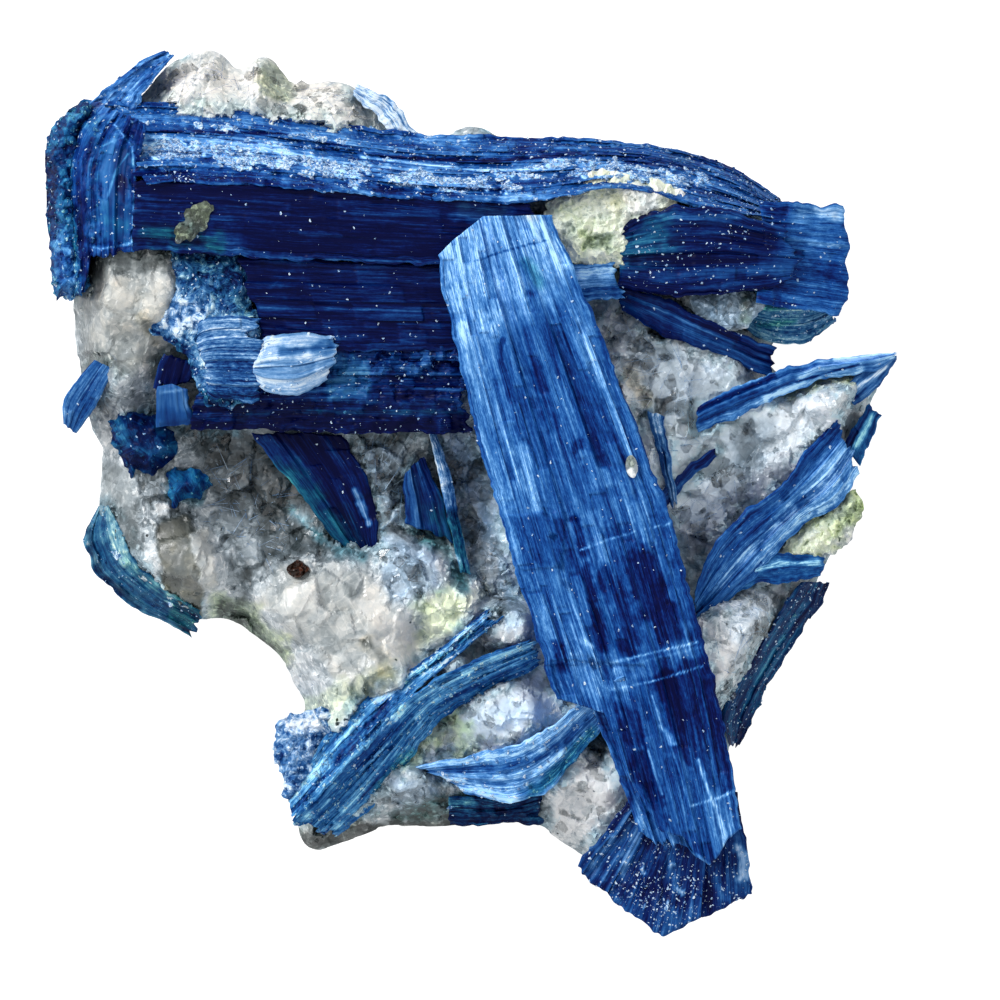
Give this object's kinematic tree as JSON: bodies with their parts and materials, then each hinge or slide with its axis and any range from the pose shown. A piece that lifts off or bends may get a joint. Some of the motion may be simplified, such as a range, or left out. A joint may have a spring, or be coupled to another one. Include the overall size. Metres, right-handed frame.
{
  "type": "kyanite blade cluster",
  "caption": "Blue kyanite blades crossing a lump of granular white quartz, a display mineral specimen that lies on its flat back.",
  "frame": {"origin": "centre of the specimen's box in plan, on the surface that its flat back rests on", "axes": "+Z out of the best face, away from the flat back; +Y towards the edge with the long sheaf of parallel blades; +X to the right when the face is seen from above with +Y up"},
  "size_m": [0.0856, 0.0892, 0.0333],
  "materials": {
    "kyanite_royal": "royal blue kyanite, silky along its fine striations, with paler streaks",
    "kyanite_deep": "navy blue kyanite, glassy on its cleavage faces, with fine striations",
    "kyanite_pale": "pale, crumbly blue kyanite, dull and fibrous",
    "kyanite_teal": "blue-green kyanite in thin rough layers",
    "quartz": "white to clear granular quartz with glassy broken faces",
    "green_quartz": "quartz crust stained yellowish green, granular and mostly dull",
    "garnet": "dark red-brown grain, slightly glassy"
  },
  "bodies": {
    "root": {"great_blade": "kyanite_royal", "upper_blade": "kyanite_deep", "layered_ridge": "kyanite_royal", "second_blade": "kyanite_deep", "pale_lath": "kyanite_pale", "front_bar": "kyanite_deep", "crumbly_blade": "kyanite_pale", "cross_sheaf": "kyanite_royal", "back_left_blade": "kyanite_royal", "back_right_blade": "kyanite_pale", "slant_blade": "kyanite_deep", "neck_blade": "kyanite_royal", "right_dark_blade": "kyanite_deep", "right_pale_blade": "kyanite_royal", "right_shelf": "kyanite_teal", "needle_blade": "kyanite_royal", "spear_blade": "kyanite_deep", "broad_blade": "kyanite_royal", "edge_splinter": "kyanite_royal", "wedge_blade": "kyanite_royal", "rim_blade": "kyanite_deep", "small_needle": "kyanite_deep", "side_splinter": "kyanite_pale", "curved_blade": "kyanite_royal", "outer_bundle": "kyanite_royal", "inner_bundle": "kyanite_royal", "pale_nub": "kyanite_pale", "shadow_blade": "kyanite_teal", "foot_blade": "kyanite_deep", "centre_blade": "kyanite_deep", "short_blade": "kyanite_deep", "pale_sliver": "kyanite_pale", "left_stub": "kyanite_royal", "block_blade": "kyanite_deep", "dark_nub": "kyanite_deep", "left_rim_blade": "kyanite_teal", "green_crust_top": "green_quartz", "green_crust_right": "green_quartz", "garnet_grain": "garnet", "quartz_matrix": "quartz"}
  },
  "joints": []
}
